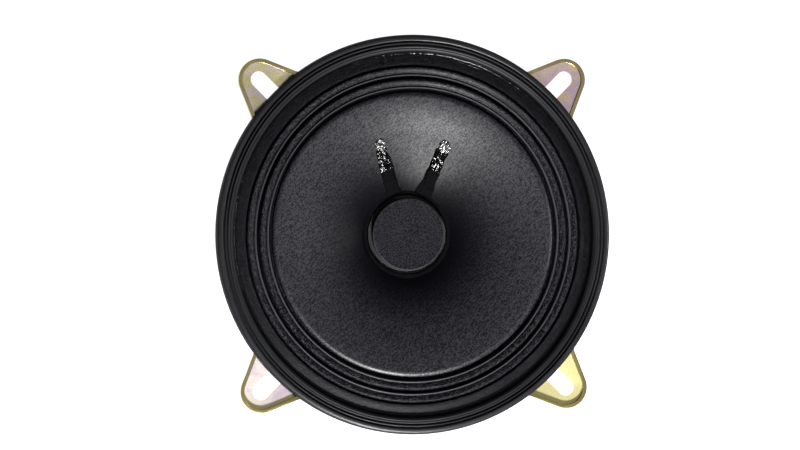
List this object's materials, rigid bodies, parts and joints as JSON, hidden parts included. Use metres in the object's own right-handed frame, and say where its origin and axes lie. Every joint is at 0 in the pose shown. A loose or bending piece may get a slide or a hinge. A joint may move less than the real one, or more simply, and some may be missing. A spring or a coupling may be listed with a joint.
{
  "type": "full-range speaker driver",
  "caption": "Round full-range speaker driver: paper cone, double-roll surround, slotted-ear pressed basket, ring magnet and rear solder terminals.",
  "frame": {"origin": "on the driver's axis, in the plane of the mounting flange's rear face", "axes": "+Z along the axis towards the listener; the four slotted ears point along +X, +Y, -X and -Y; the terminals sit between +X and +Y"},
  "size_m": [0.1564, 0.1564, 0.0517],
  "materials": {
    "zinc_passivated_steel": "glossy yellow-passivated zinc plating with a faint rainbow tint",
    "gasket_rubber": "satin moulded black rubber",
    "adhesive_black": "glossy cured black adhesive",
    "surround_cloth": "black damped cloth with a tacky sheen",
    "cone_paper": "black pulp paper, matt and finely fibrous",
    "cap_felt": "black felt-like woven cap",
    "former_paper": "impregnated kraft paper",
    "neck_adhesive": "amber-brown neck glue",
    "copper_wire": "enamelled copper",
    "eyelet_brass": "plain brass",
    "solder": "bright lead-tin solder",
    "tinsel_braid": "braided tinsel conductor",
    "spider_cloth": "phenolic-impregnated corrugated cloth",
    "plated_iron": "yellow-passivated zinc on machined iron",
    "ferrite": "dark grey sintered ferrite",
    "phenolic_board": "brown phenolic paper laminate",
    "tinned_brass": "tin-plated brass",
    "rivet_steel": "zinc-plated steel",
    "red_paint": "glossy red paint dot"
  },
  "bodies": {
    "chassis": {"basket": "zinc_passivated_steel", "front_gasket": "gasket_rubber", "gasket_adhesive": "adhesive_black", "front_plate": "plated_iron", "magnet": "ferrite", "back_plate": "plated_iron", "pole_piece": "plated_iron", "frame_rivets": "rivet_steel", "terminal_board": "phenolic_board", "board_rivets": "rivet_steel", "terminal_lug_left": "tinned_brass", "terminal_lug_right": "tinned_brass", "lug_rivets": "rivet_steel", "polarity_dot": "red_paint"},
    "cone_assembly": {"cone": "cone_paper", "dust_cap": "cap_felt", "dust_cap_glue": "adhesive_black", "coil_former": "former_paper", "coil_collar": "former_paper", "neck_glue": "neck_adhesive", "voice_coil": "copper_wire", "coil_lead_left": "copper_wire", "coil_lead_right": "copper_wire", "lead_cement_left": "adhesive_black", "lead_cement_right": "adhesive_black", "cone_eyelet_left": "eyelet_brass", "cone_eyelet_right": "eyelet_brass", "solder_joint_left": "solder", "solder_joint_right": "solder", "tinsel_lead_left": "tinsel_braid", "tinsel_lead_right": "tinsel_braid", "spider": "spider_cloth", "surround": "surround_cloth"}
  },
  "joints": [
    {"name": "cone_excursion", "type": "slide", "parent": "chassis", "child": "cone_assembly", "axis": [0, 0, 1], "range_m": [-0.004, 0.004], "stiffness_N_per_m": 1500, "deforming": ["surround", "spider", "tinsel_lead_left", "tinsel_lead_right"]}
  ]
}
